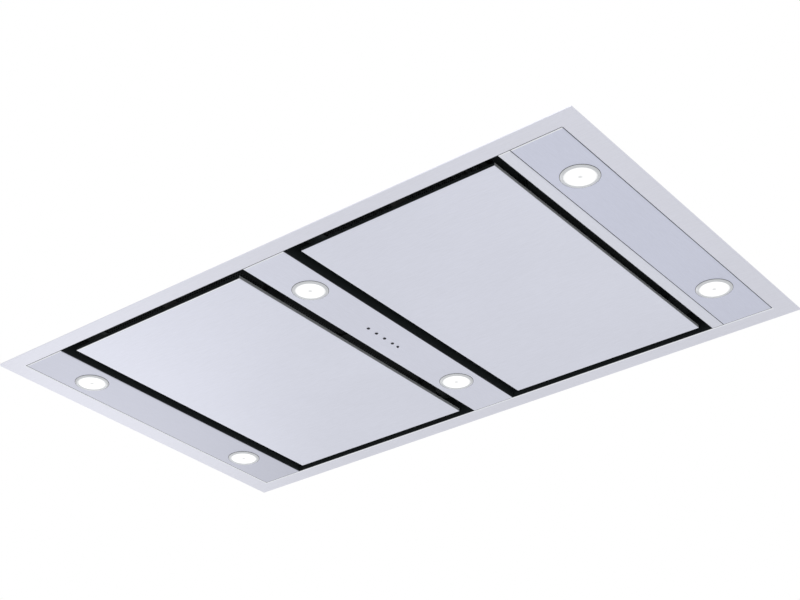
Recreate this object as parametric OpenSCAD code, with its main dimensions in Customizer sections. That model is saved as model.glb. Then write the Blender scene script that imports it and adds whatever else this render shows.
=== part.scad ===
// Ceiling range hood with two drop-down panels, six lamps and a blower in its casing.
// Millimetres. +X runs along the length, +Y away from the button side, +Z up.
// The origin is the centre of the four hanger holes, on the brackets' upper faces.

/* [Flange] */
// Length of the flange along X
hood_l = 1200; // [1100:10:1400]
// Depth of the flange along Y
hood_d = 700; // [660:10:800]
// Width of the flange's two end bands
end_band_w = 36; // [30:1:45]
// Width of the flange's two long bands
long_band_w = 32.5; // [30:0.5:45]
// Thickness of the flange and strip sheet
face_sheet = 1.5; // [1:0.1:2]
// Height of the lips folded up from the flange and the strips
lip_h = 14; // [10:1:18]
// Outer radius of the folds in the flange and the strips
face_bend_r = 2; // [1.6:0.1:2.6]
// Seam left between two pressed faces
seam = 0.5; // [0.3:0.1:0.7]

/* [Strips] */
// Width of the two end strips
end_strip_w = 89; // [82:1:110]
// Width of the centre strip
centre_strip_w = 86; // [80:1:100]
// Width of the rail beside the right panel
rail_w = 21.5; // [16:0.5:26]

/* [Panels] */
// Slot between a panel and a strip
panel_side_gap = 23; // [20:0.5:28]
// Slot between the right panel and its rail
panel_rail_gap = 17; // [14:0.5:22]
// Slot between a panel and the flange's long bands
panel_end_gap = 17; // [12:0.5:22]
// Thickness of the panel sheet
panel_sheet = 1; // [0.8:0.1:1.2]
// Outer radius of the panel's folds
panel_bend_r = 1.5; // [1.2:0.1:2]
// Height of the panel's folded edges
panel_edge_h = 6; // [5:0.5:8]
// Thickness of the sheet behind the panel
back_sheet = 0.8; // [0.6:0.1:1]

/* [Panel hinges] */
// Distance of the pivot from the panel's outer edge
pivot_inset = 10; // [9:0.5:12]
// Height of the pivot over the panel's face
pivot_h = 16; // [15:0.5:18]
// Radius of the hinge pins
hinge_pin_r = 2; // [1.5:0.1:2.4]
// Radius of the round ends of the hinge ears
ear_r = 6; // [5:0.5:7]
// Thickness of a hinge ear
ear_t = 2; // [1.5:0.1:2.5]
// Thickness of the panel's hinge lug
lug_t = 3; // [2.5:0.1:4]
// Distance of the hinges from the hood's middle
hinge_y = 210; // [180:5:250]
// Width and depth of a catch magnet
catch_w = 11; // [8:0.5:12]
// Length of a catch magnet
catch_l = 40; // [30:1:50]

/* [Filter bays] */
// Thickness of the sheet of the filter frames
bay_sheet = 1; // [0.8:0.1:1.2]
// Height of the filter frame's ledge over the face
ledge_h = 47; // [46:0.5:50]
// Width of the ledge that overlaps a filter
ledge_lap = 12; // [9:0.5:14]
// Room between the panel pivot and the filters
hinge_room = 22; // [20:0.5:26]
// Room between the panel's free edge and the filters
catch_room = 15; // [14:0.5:20]
// Room between the filters and the bay's ends
filter_end_room = 26; // [25:0.5:32]
// Height of a filter
filter_h = 12; // [10:0.5:13]
// Width of a filter's rim
rim_w = 10; // [8:0.5:12]
// Thickness of the rim's walls
rim_wall = 1; // [0.8:0.1:1.5]
// Pitch of the pleats in the filter mesh
pleat_pitch = 12; // [10:1:16]
// Thickness of the filter mesh
mesh_t = 1; // [0.8:0.1:1.4]
// Width of a filter latch
latch_w = 30; // [24:1:40]
// Travel of a filter latch
latch_travel = 7; // [6:0.5:8]

/* [Lamps] */
// Distance of the lamps from the strips' ends
lamp_inset = 116; // [90:2:146]
// Outer radius of the lamp ring
lamp_r = 30; // [26:0.5:33]
// Height of the ring under the strip
lamp_ring_h = 2.5; // [2:0.1:3.5]
// Radius of the lamp's sleeve in the strip
sleeve_r = 26; // [22:0.5:27]
// Wall of the lamp's sleeve
sleeve_wall = 1.5; // [1.2:0.1:2]
// Height of the lamp's sleeve over the face
sleeve_h = 14; // [10:0.5:16]
// Thickness of the lamp's lens
lens_t = 2.5; // [2:0.1:3]
// Height of the lamp's heat sink
sink_h = 20; // [14:1:24]
// Number of fins on the heat sink
sink_fins = 16; // [12:1:20]

/* [Controls] */
// Spacing of the push buttons
button_pitch = 22; // [20:0.5:26]
// Place of the first button along Y
first_button_y = -45.5; // [-50:0.5:-40]
// Place of the buttons along X
button_x = -4; // [-6:0.5:6]
// Radius of a push button
button_r = 2.8; // [2.4:0.1:3.2]
// Travel of a push button
button_travel = 1.2; // [0.8:0.1:1.6]
// Distance of the remote receiver from the last button
eye_step = 15; // [14:0.5:20]
// Radius of the remote receiver
eye_r = 2.4; // [2:0.1:2.8]

/* [Casing] */
// Height of the plenum over the visible face
plenum_h = 115; // [112:1:140]
// Thickness of the casing sheet
casing_sheet = 1.2; // [1:0.1:1.5]
// Width of the casing's folded flanges
fold_w = 14; // [12:0.5:18]
// Length of the blower box
box_l = 460; // [420:5:520]
// Depth of the blower box
box_d = 340; // [320:5:380]
// Height of the blower box over the plenum
box_h = 200; // [194:1:220]

/* [Hangers] */
// Spacing of the hanger holes along X
hanger_x = 1000; // [900:10:1040]
// Spacing of the hanger holes along Y
hanger_y = 520; // [480:10:540]
// Radius of a hanger hole
hanger_hole_r = 4.5; // [4:0.1:5.5]
// Height of a hanger bracket
bracket_h = 40; // [34:1:50]
// Width of a hanger bracket
bracket_w = 50; // [40:1:60]
// Thickness of a hanger bracket
bracket_t = 2.5; // [2:0.1:3]

/* [Blower] */
// Radius of the impeller
fan_r = 75; // [70:1:78]
// Width of the impeller
fan_w = 150; // [130:1:160]
// Number of impeller blades
blade_count = 36; // [30:1:40]
// Radial depth of the blades
blade_d = 13; // [11:0.5:15]
// Thickness of a blade
blade_t = 1; // [0.8:0.1:1.4]
// Side gap between impeller and volute
fan_side_gap = 5; // [4:0.5:8]
// Gap between impeller and volute at the cutoff
cutoff_gap = 10; // [8:0.5:12]
// Growth of the volute from cutoff to outlet
volute_growth = 35; // [30:1:37]
// Distance of the impeller's axis from the casing's middle, towards the front
fan_back = 20; // [10:1:25]
// Height of the blower box's lid over the impeller's axis
axis_drop = 160; // [158:1:168]
// Radius of the fan shaft
shaft_r = 4; // [3:0.1:5]
// Radius of the motor
motor_r = 44; // [40:0.5:46]
// Length of the motor
motor_l = 76; // [66:1:78]

/* [Duct] */
// Outer radius of the duct collar
collar_r = 75; // [70:0.5:76]
// Wall of the duct collar
collar_wall = 1.5; // [1.2:0.1:2]
// Length of the duct collar
collar_l = 50; // [40:1:60]
// Width of the collar's screw ring
collar_ring_w = 11; // [10:0.5:12]
// Radius of the flaps' pins
flap_pin_r = 1.5; // [1.2:0.1:2]
// Wall of a flap's barrel round its pin
barrel_wall = 1.8; // [1.4:0.1:2.4]
// Thickness of a flap
flap_t = 1.2; // [1:0.1:1.6]

/* [Electrics] */
// Length of the lamp driver
driver_l = 160; // [140:5:180]
// Width of the lamp driver
driver_w = 58; // [50:1:70]
// Height of the lamp driver
driver_h = 28; // [22:1:34]
// Length of the terminal box
terminal_l = 110; // [90:5:130]
// Width of the terminal box
terminal_w = 80; // [70:1:90]
// Height of the terminal box
terminal_h = 42; // [36:1:50]
// Radius of the cable inlet
inlet_r = 4; // [3:0.1:5]

/* [Screws] */
// Radius of the casing screws
screw_r = 2; // [1.5:0.1:2.4]
// Length of the casing screws
screw_l = 8; // [6:0.5:10]

/* [Hidden] */
$fn = 48;

// Number of push buttons, each a node of its own
button_count = 4;

// Overrun of every cut past the face that it opens
over = 1;
// Running clearance of a pin or shaft in its bore
run_gap = 0.05;
// Clearance between two pieces that slide or nearly touch
slip = 0.3;

// Colours as the photograph shows them, and as such casings have them
steel_colour = [0.86, 0.87, 0.91];
strip_colour = [0.78, 0.79, 0.84];
zinc_colour = [0.72, 0.74, 0.76];
black_colour = [0.08, 0.09, 0.09];
plastic_colour = [0.16, 0.17, 0.18];
mesh_colour = [0.66, 0.67, 0.69];
lens_colour = [0.98, 0.99, 1];
board_colour = [0.12, 0.36, 0.22];

// Levels: the visible face, the deck's upper face and the lid's upper face
face_z = -(plenum_h + bracket_h);
deck_z = -bracket_h;
lid_z = deck_z + box_h;

// Edges of the flange's opening, of the casing and of the two bays
half_l = hood_l / 2;
half_d = hood_d / 2;
open_x = half_l - end_band_w;
open_y = half_d - long_band_w;
shell_x = open_x + face_sheet;
shell_y = open_y + face_sheet;
bays = [
    [-open_x + end_strip_w, -centre_strip_w / 2],
    [centre_strip_w / 2, open_x - end_strip_w - rail_w]
];

// Edges of the two panels; each is hinged at its outer edge
panels = [
    [bays[0][0] + panel_side_gap, bays[0][1] - panel_side_gap],
    [bays[1][0] + panel_side_gap, bays[1][1] - panel_rail_gap]
];
panel_y = open_y - panel_end_gap;
pivots = [panels[0][0] + pivot_inset, panels[1][1] - pivot_inset];
filters = [
    [pivots[0] + hinge_room, panels[0][1] - catch_room],
    [panels[1][0] + catch_room, pivots[1] - hinge_room]
];

// Levels over the visible face inside a bay
back_top = panel_edge_h - panel_sheet / 2;
filter_top = ledge_h - bay_sheet;
filter_bottom = filter_top - filter_h;
latch_t = 2;
latch_top = filter_bottom - slip;
latch_bottom = latch_top - latch_t;
keeper_top = latch_bottom - slip;
keeper_t = 1.5;

// The rail between two filters: a stem with a foot under both rims
rail_stem_t = 3;
rail_foot_w = 20;
rail_foot_t = 1.5;
filter_y = [rail_stem_t / 2 + slip, open_y - filter_end_room];

// The hinge pins' heads, as a share of the pins' radius
pin_head_share = 1.6;

// The latch's tongue, its keeper and its finger tab
tongue_spare = 1;
tongue_lap = latch_travel - tongue_spare;
keeper_room = 5;
keeper_edge = filter_y[1] + keeper_room;
latch_out = keeper_edge + tongue_lap;
latch_len = 40;
tab_h = 8;
guide_w = 2.5;

// Lamp centres in the order near left, far left, near centre, far centre, near right, far right
lamp_y = open_y - lamp_inset;
strip_centres = [-open_x + end_strip_w / 2, 0, open_x - end_strip_w / 2];
lamp_places = [for (x = strip_centres) for (side = [-1, 1]) [x, side * lamp_y]];

// Lamp details
ring_flank_w = 3.4;
ring_lip_w = 1.1;
ring_edge_share = 0.2;
lens_r = lamp_r - ring_flank_w - ring_lip_w;
lens_soft_share = 0.4;
sink_r = sleeve_r - sleeve_wall;
sink_core_share = 0.55;
sink_fin_t = 1.6;
sink_plate_t = 3;

// Button details
button_collar_r = 4.2;
button_collar_h = 1.5;
button_stem_r = 1.5;
button_stem_h = 14;
button_out = 0.8;
housing_w = 24;
housing_h = 20;
housing_wall = 6;
chamber_h = button_collar_h + button_travel + 2 * slip;
board_t = 1.6;
board_w = 60;
board_margin = 40;
connector_h = 9;
connector_w = 12;
button_places = [for (i = [0:button_count - 1]) first_button_y + i * button_pitch];
eye_y = button_places[button_count - 1] + eye_step;
eye_h = 9;
eye_dome_share = 0.9;

// Blower places: the impeller's axis, the volute's spiral and its outlet
axis_y = -fan_back;
axis_z = lid_z - axis_drop;
volute_in = fan_w / 2 + fan_side_gap;
volute_start = fan_r + cutoff_gap;
volute_end = volute_start + volute_growth;
spiral_from = 90;
spiral_to = 385;
spiral_steps = 24;
outlet_y = box_d / 2 - casing_sheet - axis_y;
outlet_low_share = 0.26;
outlet_low = volute_start * outlet_low_share;
collar_z = axis_z + (volute_end + outlet_low) / 2;
bell_r = 8;
inlet_hole_r = fan_r - blade_d + bell_r / 2;
end_ring_w = 6;
end_ring_t = 3;
hub_r = 12;
hub_l = 24;
disc_t = 1.5;
blade_in = fan_r - blade_d;
blade_inset_share = 1.2;
blade_out = fan_r - blade_inset_share * blade_t;
blade_steps = 4;
blade_lean = 12;
ear_w = 90;
ear_low_share = 0.7;
motor_nose_r = 14;
motor_nose_l = 8;
bracket_ring_w = 5;
arm_w = 12;
arm_t = 2;
motor_room = 2;
motor_soft_share = 0.1;
motor_back = -disc_t - motor_nose_l - motor_l - motor_room;
shaft_from = motor_back + motor_l / 3;

// Flap places
collar_in = collar_r - collar_wall;
flap_place_share = 0.28;
flap_y = box_d / 2 + collar_l * flap_place_share;
flap_r = collar_in - 3 * slip;
barrel_r = flap_pin_r + barrel_wall;
flap_axis = barrel_r + slip / 2;
collar_ring_t = 2;
flap_pin_l = 2 * collar_in + collar_wall;

// Electrics on the deck, beside the blower box
service_step = 90;
terminal_step = 40;
service_x = box_l / 2 + service_step;
terminal_y = box_d / 2 + terminal_step;
lid_lap = 1.5;
lid_depth = 12;
gland_z = 18;
gland_r = 11;
gland_l = 28;
inlet_depth = 12;
gland_hex_share = 0.3;
gland_neck_share = 0.8;
gland_neck_end_share = 0.6;
gland_nose_share = 0.72;

// Screw heads and their places
head_r = 2 * screw_r;
head_h_share = 1.2;
head_top_share = 1.3;
head_h = head_h_share * screw_r;
foot_screw_share = 0.33;

// A block between its lowest and its highest corner
module block(low, high) {
    translate(low) cube(high - low);
}

// A cylinder along Y that starts at y
module rod_y(r, y, length) {
    translate([0, y, 0]) rotate([-90, 0, 0]) cylinder(r = r, h = length);
}

// A cylinder along X that starts at x
module rod_x(r, x, length) {
    translate([x, 0, 0]) rotate([0, 90, 0]) cylinder(r = r, h = length);
}

// An outline drawn in Y and Z, extruded along X from x
module slab_x(x, length) {
    translate([x, 0, 0]) rotate([90, 0, 90]) linear_extrude(height = length) children();
}

// A folded pan, open at the top
module pan(low, high, wall) {
    difference() {
        block(low, high);
        block(low + [wall, wall, wall], high + [-wall, -wall, over]);
    }
}

// Cutter that rounds an edge along X, of a solid on the edge's +Y and +Z side
module fold_cutter(r, length) {
    slab_x(-length / 2, length) difference() {
        translate([-over, -over]) square(r + over);
        translate([r, r]) circle(r = r);
    }
}

// A folded pan whose lower edges are rounded
module rounded_pan(low, high, wall, r) {
    middle = (low + high) / 2;
    half = (high - low) / 2;
    difference() {
        pan(low, high, wall);
        translate([middle[0], middle[1], low[2]]) {
            for (turn = [0, 180])
                rotate(turn) translate([0, -half[1], 0]) fold_cutter(r, 2 * (half[0] + over));
            for (turn = [90, 270])
                rotate(turn) translate([0, -half[0], 0]) fold_cutter(r, 2 * (half[1] + over));
        }
    }
}

// Mirrors its children along X when side is -1
module flip_x(side) {
    mirror([side < 0 ? 1 : 0, 0, 0]) children();
}

// Mirrors its children along Y when side is -1
module flip_y(side) {
    mirror([0, side < 0 ? 1 : 0, 0]) children();
}

// Lifts its children from the visible face's level to the hood's frame
module at_face() {
    translate([0, 0, face_z]) children();
}

// Flange: a flat ring with a lip folded up round its opening
module flange_frame() {
    color(steel_colour) at_face() difference() {
        union() {
            block([-half_l, -half_d, 0], [half_l, half_d, face_sheet]);
            block([-shell_x, -shell_y, 0], [shell_x, shell_y, lip_h]);
        }
        block([-open_x, -open_y, -over], [open_x, open_y, lip_h + over]);
        for (turn = [0, 180]) {
            rotate(turn) translate([0, open_y, 0]) fold_cutter(face_bend_r, 2 * open_x);
            rotate(turn + 90) translate([0, open_x, 0]) fold_cutter(face_bend_r, 2 * open_y);
        }
    }
}

// Plenum casing: two long walls and two end walls on the flange's lip, folded in under the deck
module plenum_side_walls() {
    top = plenum_h - casing_sheet;
    color(zinc_colour) at_face() for (side = [-1, 1]) flip_y(side) {
        block([-shell_x, shell_y - casing_sheet, lip_h], [shell_x, shell_y, top]);
        block([-shell_x + fold_w, shell_y - fold_w, top - casing_sheet],
              [shell_x - fold_w, shell_y - casing_sheet / 2, top]);
    }
}

module plenum_end_walls() {
    top = plenum_h - casing_sheet;
    wide = shell_y - casing_sheet;
    color(zinc_colour) at_face() for (side = [-1, 1]) flip_x(side) {
        block([shell_x - casing_sheet, -wide, lip_h], [shell_x, wide, top]);
        block([shell_x - fold_w, -shell_y + fold_w, top - casing_sheet],
              [shell_x - casing_sheet / 2, shell_y - fold_w, top]);
    }
}

module bracket_screw_places() {
    for (sx = [-1, 1]) for (sy = [-1, 1]) for (step = [-1, 1])
        translate([sx * hanger_x / 2 + step * bracket_w / 4, sy * hanger_y / 2, 0])
            children();
}

module foot_screw_places() {
    for (side = [-1, 1]) for (step = [-1, 0, 1])
        translate([step * box_l * foot_screw_share, side * (box_d + fold_w) / 2, 0]) children();
}

// Deck: the plenum's lid, open under the blower box
module plenum_deck() {
    hole_x = box_l / 2 - fold_w;
    hole_y = box_d / 2 - fold_w;
    color(zinc_colour) translate([0, 0, deck_z]) difference() {
        block([-shell_x, -shell_y, -casing_sheet], [shell_x, shell_y, 0]);
        block([-hole_x, -hole_y, -casing_sheet - over], [hole_x, hole_y, over]);
        bracket_screw_places() screw_hole();
        foot_screw_places() screw_hole();
    }
}

module screw_hole() {
    translate([0, 0, -screw_l]) cylinder(r = screw_r + run_gap, h = 2 * screw_l);
}

// Blower box: front, lid and rear folded from one sheet, with ends and feet
module blower_box() {
    x = box_l / 2;
    y = box_d / 2;
    color(zinc_colour) difference() {
        union() {
            difference() {
                block([-x, -y, deck_z], [x, y, lid_z]);
                block([-x + casing_sheet, -y + casing_sheet, deck_z - over],
                      [x - casing_sheet, y - casing_sheet, lid_z - casing_sheet]);
            }
            for (side = [-1, 1]) flip_y(side)
                block([-x, y - casing_sheet / 2, deck_z], [x, y + fold_w, deck_z + casing_sheet]);
        }
        translate([0, 0, collar_z]) rod_y(collar_in, y - casing_sheet - over, casing_sheet + 2 * over);
        collar_screw_places() rod_y(screw_r + run_gap, y - screw_l, 2 * screw_l);
        translate([0, 0, deck_z]) foot_screw_places() screw_hole();
    }
}

// Hanger brackets: channels on the deck, open towards the casing's middle
module hanger_brackets() {
    color(zinc_colour) for (sx = [-1, 1]) for (sy = [-1, 1])
        translate([sx * hanger_x / 2, sy * hanger_y / 2, 0]) flip_y(sy) hanger_bracket();
}

module hanger_bracket() {
    half = bracket_w / 2;
    reach = bracket_w / 2;
    difference() {
        block([-half, -reach, deck_z], [half, half / 2 + bracket_t, 0]);
        block([-half - over, -reach - over, deck_z + bracket_t], [half + over, half / 2, -bracket_t]);
        translate([0, 0, -2 * bracket_t]) cylinder(r = hanger_hole_r, h = 2 * bracket_t + over);
        translate([0, 0, deck_z]) for (step = [-1, 1])
            translate([step * bracket_w / 4, 0, 0]) screw_hole();
    }
}

// Strips: pans whose folded walls meet the flange's lip and the filter frames
module strip_pan(x_low, x_high) {
    y = open_y - seam;
    rounded_pan([x_low, -y, 0], [x_high, y, lip_h], face_sheet, face_bend_r);
}

module lamp_hole(place) {
    translate([place[0], place[1], -over]) cylinder(r = sleeve_r + slip, h = face_sheet + 2 * over);
}

module strip_left() {
    color(strip_colour) at_face() difference() {
        strip_pan(-open_x + seam, bays[0][0]);
        for (i = [0, 1]) lamp_hole(lamp_places[i]);
    }
}

module strip_centre() {
    color(strip_colour) at_face() difference() {
        strip_pan(bays[0][1], bays[1][0]);
        for (i = [2, 3]) lamp_hole(lamp_places[i]);
        for (y = button_places)
            translate([button_x, y, -over]) cylinder(r = button_r + slip, h = face_sheet + 2 * over);
        translate([button_x, eye_y, -over]) cylinder(r = eye_r + slip, h = face_sheet + 2 * over);
    }
}

module strip_right() {
    color(strip_colour) at_face() difference() {
        strip_pan(bays[1][1] + rail_w, open_x - seam);
        for (i = [4, 5]) lamp_hole(lamp_places[i]);
    }
}

module hinge_rail() {
    color(steel_colour) at_face() strip_pan(bays[1][1], bays[1][1] + rail_w - seam);
}

// Filter frames: black walls round a bay, a ledge over the filters and a rail between them
module filter_frame(i) {
    x0 = bays[i][0];
    x1 = bays[i][1];
    f0 = filters[i][0];
    f1 = filters[i][1];
    bottom = face_sheet;
    color(black_colour) at_face() {
        difference() {
            block([x0, -open_y, bottom], [x1, open_y, ledge_h]);
            block([x0 + bay_sheet, -open_y + bay_sheet, bottom - over],
                  [x1 - bay_sheet, open_y - bay_sheet, filter_top]);
            for (side = [-1, 1]) flip_y(side)
                block([f0 + ledge_lap, filter_y[0] + ledge_lap, filter_top - over],
                      [f1 - ledge_lap, filter_y[1] - ledge_lap, ledge_h + over]);
        }
        block([f0, -rail_stem_t / 2, filter_bottom - rail_foot_t],
              [f1, rail_stem_t / 2, ledge_h]);
        block([f0, -rail_foot_w / 2, filter_bottom - rail_foot_t],
              [f1, rail_foot_w / 2, filter_bottom]);
        for (side = [-1, 1]) flip_y(side) keeper((f0 + f1) / 2);
    }
}

module keeper(x) {
    half = latch_w / 2 + guide_w;
    block([x - half, keeper_edge, keeper_top - keeper_t], [x + half, open_y - bay_sheet / 2, keeper_top]);
}

module filter_frame_left() {
    filter_frame(0);
}

module filter_frame_right() {
    filter_frame(1);
}

// Filters: a channel rim round a pleated mesh. Odd numbers are near, even ones far.
module filter_rim(number) {
    bay = number > 2 ? 1 : 0;
    side = number % 2 == 1 ? -1 : 1;
    f0 = filters[bay][0];
    f1 = filters[bay][1];
    y0 = filter_y[0];
    y1 = filter_y[1];
    color(mesh_colour) at_face() flip_y(side) {
        difference() {
            block([f0, y0, filter_bottom], [f1, y1, filter_top]);
            block([f0 + rim_w, y0 + rim_w, filter_bottom - over],
                  [f1 - rim_w, y1 - rim_w, filter_top + over]);
            block([f0 + rim_wall, y0 + rim_wall, filter_bottom + rim_wall],
                  [f1 - rim_wall, y1 - rim_wall, filter_top - rim_wall]);
        }
        for (way = [-1, 1]) translate([(f0 + f1) / 2, 0, 0]) flip_x(way) latch_guide(y1);
    }
}

// An angled guide under the rim, which carries one edge of the latch
module latch_guide(y1) {
    inside = latch_w / 2 + slip;
    low = latch_bottom - slip - rim_wall;
    block([inside, y1 - rim_w, low], [inside + guide_w - slip, y1, filter_bottom]);
    block([inside - guide_w, y1 - rim_w, low], [inside + guide_w - slip, y1, low + rim_wall]);
}

// The mesh is one sheet folded into pleats that fill the rim's channel
function pleat_points(low, high, count, width, lift) = [
    for (i = [0:count]) [low + (high - low) * i / count, lift + (i % 2 == 0 ? 0 : width)]
];

module filter_mesh(bay, side) {
    low = filters[bay][0] + rim_wall;
    high = filters[bay][1] - rim_wall;
    count = 2 * floor((high - low) / pleat_pitch);
    depth = filter_h - 2 * rim_wall - mesh_t;
    lift = filter_bottom + rim_wall;
    lower = pleat_points(low, high, count, depth, lift);
    upper = pleat_points(low, high, count, depth, lift + mesh_t);
    start = filter_y[0] + rim_wall;
    length = filter_y[1] - filter_y[0] - 2 * rim_wall;
    flip_y(side) translate([0, start + length, 0]) rotate([90, 0, 0])
        linear_extrude(height = length)
            polygon(concat(lower, [for (i = [count:-1:0]) upper[i]]));
}

module filter_meshes_left() {
    color(mesh_colour) at_face() for (side = [-1, 1]) filter_mesh(0, side);
}

module filter_meshes_right() {
    color(mesh_colour) at_face() for (side = [-1, 1]) filter_mesh(1, side);
}

// Latch: a sliding plate with a tongue on the keeper and a tab for a finger
module filter_latch(number) {
    bay = number > 2 ? 1 : 0;
    side = number % 2 == 1 ? -1 : 1;
    half = latch_w / 2;
    inner = latch_out - latch_len;
    color(plastic_colour) at_face() translate([(filters[bay][0] + filters[bay][1]) / 2, 0, 0])
        flip_y(side) {
            block([-half, inner, latch_bottom], [half, latch_out, latch_top]);
            block([-half, inner, latch_bottom - tab_h], [half, inner + latch_t, latch_bottom + latch_t / 2]);
        }
}

// Lamp ring: a conical ring under the strip with a sleeve through it
module lamp_ring(number) {
    place = lamp_places[number - 1];
    inner = sink_r;
    color(steel_colour) at_face() translate([place[0], place[1], 0]) rotate_extrude() polygon([
        [lens_r, -lamp_ring_h],
        [lens_r + ring_lip_w, -lamp_ring_h],
        [lamp_r, -lamp_ring_h * ring_edge_share],
        [lamp_r, 0],
        [sleeve_r, 0],
        [sleeve_r, sleeve_h],
        [inner, sleeve_h],
        [inner, lens_t - lamp_ring_h / 2],
        [lens_r, lens_t - lamp_ring_h / 2]
    ]);
}

// Lamp lenses: frosted discs with a soft lower edge, seated in the rings
module lamp_lenses() {
    soft = lens_t * lens_soft_share;
    edge = lens_r - run_gap;
    color(lens_colour) at_face() for (place = lamp_places)
        translate([place[0], place[1], -lamp_ring_h / 2]) rotate_extrude() polygon([
            [0, 0],
            [edge - 2 * soft, 0],
            [edge, soft],
            [edge, lens_t],
            [0, lens_t]
        ]);
}

// Lamp module: a puck in the sleeve under a finned heat sink
module lamp_modules() {
    color(zinc_colour) at_face() for (place = lamp_places)
        translate([place[0], place[1], 0]) lamp_module();
}

module lamp_module() {
    puck_bottom = lens_t - lamp_ring_h / 2 + slip;
    translate([0, 0, puck_bottom]) cylinder(r = sink_r - run_gap, h = sleeve_h - puck_bottom);
    translate([0, 0, sleeve_h]) linear_extrude(height = sink_h) {
        circle(r = sleeve_r * sink_core_share);
        for (i = [0:sink_fins - 1]) rotate(i * 360 / sink_fins)
            translate([0, -sink_fin_t / 2]) square([sleeve_r + sink_fin_t, sink_fin_t]);
    }
    translate([0, 0, sleeve_h]) cylinder(r = sleeve_r + sink_fin_t, h = sink_plate_t);
}

// Push button: a cap in the strip, a collar behind it and a stem in the housing
module push_button(number) {
    color(black_colour) at_face() translate([button_x, button_places[number - 1], 0]) rotate_extrude()
        polygon([
            [0, -button_out],
            [button_r - button_out / 2, -button_out],
            [button_r, -button_out / 2],
            [button_r, face_sheet + slip],
            [button_collar_r, face_sheet + slip],
            [button_collar_r, face_sheet + slip + button_collar_h],
            [button_stem_r, face_sheet + slip + button_collar_h],
            [button_stem_r, button_stem_h],
            [0, button_stem_h]
        ]);
}

module remote_receiver() {
    color(plastic_colour) at_face() translate([button_x, eye_y, 0]) {
        cylinder(r = eye_r, h = eye_h);
        sphere(r = eye_r * eye_dome_share);
    }
}

// Button housing: a bar on the strip with a chamber and a guide for each button
module button_housing() {
    y0 = button_places[0] - button_collar_r - housing_wall;
    y1 = eye_y + eye_r + housing_wall;
    half = housing_w / 2;
    color(plastic_colour) at_face() translate([button_x, 0, face_sheet]) difference() {
        block([-half, y0, 0], [half, y1, housing_h]);
        for (y = button_places) translate([0, y, 0]) {
            translate([0, 0, -over]) cylinder(r = button_collar_r + slip, h = chamber_h + over);
            cylinder(r = button_stem_r + slip, h = button_stem_h + button_travel);
        }
        translate([0, eye_y, -over]) cylinder(r = eye_r + run_gap, h = eye_h - face_sheet + over);
    }
}

module control_board() {
    y0 = button_places[0] - board_margin;
    y1 = eye_y + board_margin;
    half = board_w / 2;
    level = face_sheet + housing_h;
    color(board_colour) at_face() translate([button_x, 0, level]) {
        block([-half, y0, 0], [half, y1, board_t]);
        for (y = [y0 + connector_w, y1 - 2 * connector_w]) for (x = [-half + connector_w / 2, 0])
            block([x, y, board_t / 2], [x + 2 * connector_w, y + connector_w, board_t + connector_h]);
    }
}

// Lamp driver: a closed case with a fixing ear at each end
module lamp_driver() {
    half_w = driver_w / 2;
    half = driver_l / 2;
    color(plastic_colour) translate([-service_x, 0, deck_z]) {
        block([-half_w, -half, 0], [half_w, half, driver_h]);
        for (side = [-1, 1]) flip_y(side) difference() {
            block([-half_w / 2, half - casing_sheet, 0], [half_w / 2, half + fold_w, 2 * casing_sheet]);
            translate([0, half + fold_w / 2, -over]) cylinder(r = screw_r + slip, h = fold_w);
        }
    }
}

// Terminal box: a base and a lid that laps over it, with the cable inlet at the rear
module terminal_box() {
    half = terminal_l / 2;
    color(plastic_colour) translate([-service_x, terminal_y, deck_z]) difference() {
        union() {
            block([-half, -terminal_w, 0], [half, 0, terminal_h]);
            block([-half - lid_lap, -terminal_w - lid_lap, terminal_h - lid_depth],
                  [half + lid_lap, lid_lap, terminal_h + lid_lap]);
        }
        translate([0, 0, gland_z]) rod_y(inlet_r + slip, -inlet_depth, inlet_depth + over);
    }
}

// Cable gland: a six-sided body and a round nut round the inlet's bore
module cable_gland() {
    color(plastic_colour) translate([-service_x, terminal_y, deck_z + gland_z]) difference() {
        union() {
            rotate([-90, 0, 0]) cylinder(r = gland_r, h = gland_l * gland_hex_share, $fn = 6);
            rod_y(gland_r * gland_neck_share, 0, gland_l * gland_neck_end_share);
            translate([0, gland_l * gland_hex_share + slip, 0]) rotate([-90, 0, 0])
                cylinder(r1 = gland_r, r2 = gland_r * gland_nose_share,
                         h = gland_l * (1 - gland_hex_share) - slip);
        }
        rod_y(inlet_r, -over, gland_l + 2 * over);
    }
}

// Volute: points of the spiral at a given offset, from the top round to the cutoff
function spiral_radius(angle) =
    volute_end - volute_growth * (angle - spiral_from) / (spiral_to - spiral_from);
function spiral_points(offset, last) = [
    for (i = [0:last])
        let (angle = spiral_from + (spiral_to - spiral_from) * i / spiral_steps)
            (spiral_radius(angle) + offset) * [cos(angle), sin(angle)]
];
cutoff_point = spiral_radius(spiral_to) * [cos(spiral_to), sin(spiral_to)];
volute_inside = concat(
    [[outlet_y, volute_end]],
    spiral_points(0, spiral_steps),
    [[outlet_y, outlet_low]]
);
volute_outside = concat(
    [[outlet_y, volute_end + casing_sheet]],
    spiral_points(casing_sheet, spiral_steps - 1),
    [cutoff_point + [casing_sheet, -casing_sheet], [outlet_y, outlet_low - casing_sheet]]
);

module at_axis() {
    translate([0, axis_y, axis_z]) children();
}

module volute_band() {
    last = len(volute_inside) - 1;
    color(zinc_colour) at_axis() slab_x(-volute_in, 2 * volute_in)
        polygon(concat(volute_outside, [for (i = [last:-1:0]) volute_inside[i]]));
}

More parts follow.
